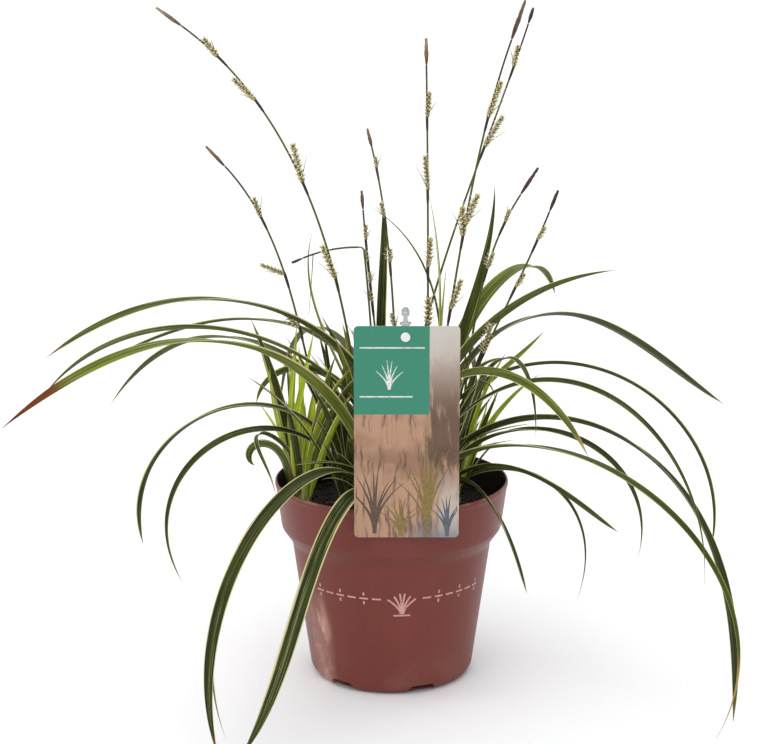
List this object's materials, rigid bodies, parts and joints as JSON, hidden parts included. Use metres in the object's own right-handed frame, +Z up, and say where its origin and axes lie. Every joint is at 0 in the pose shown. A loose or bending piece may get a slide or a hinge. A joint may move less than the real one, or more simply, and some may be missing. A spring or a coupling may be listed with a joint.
{
  "type": "potted carex sedge",
  "caption": "Variegated sedge with arching strap leaves and slender flower culms, in a tapered nursery pot with a picture label on a stake.",
  "frame": {"origin": "on the pot's axis, in the plane of its flat underside", "axes": "+Z up along the pot's axis, the label faces -Y, +X to the label's right as one faces it"},
  "size_m": [0.5458, 0.5197, 0.4876],
  "materials": {
    "pot": "satin",
    "soil": "matte",
    "leaf": "satin",
    "culm": "satin",
    "male_spike": "matte",
    "clear_plastic": "gloss",
    "label_card": "satin",
    "white_plastic": "gloss"
  },
  "bodies": {
    "root": {"pot": "pot", "soil": "soil", "shoot_front_left": "leaf", "shoot_left": "leaf", "shoot_rear_left": "leaf", "shoot_side_left": "leaf", "shoot_fan_left": "leaf", "shoot_rear": "leaf", "shoot_rear_right": "leaf", "shoot_right": "leaf", "shoot_front_right": "leaf", "shoot_side_right": "leaf", "shoot_fan_right": "leaf", "culm_a": "culm", "culm_a_male_spike": "male_spike", "culm_b": "culm", "culm_b_male_spike": "male_spike", "culm_c": "culm", "culm_c_male_spike": "male_spike", "culm_d": "culm", "culm_d_male_spike": "male_spike", "culm_e": "culm", "culm_e_male_spike": "male_spike", "culm_f": "culm", "culm_f_male_spike": "male_spike", "culm_g": "culm", "culm_g_male_spike": "male_spike", "culm_h": "culm", "culm_h_male_spike": "male_spike", "culm_i": "culm", "culm_i_male_spike": "male_spike", "culm_j": "culm", "culm_j_male_spike": "male_spike", "label_stake": "clear_plastic", "label_card": "label_card", "label_stud": "white_plastic"}
  },
  "joints": []
}
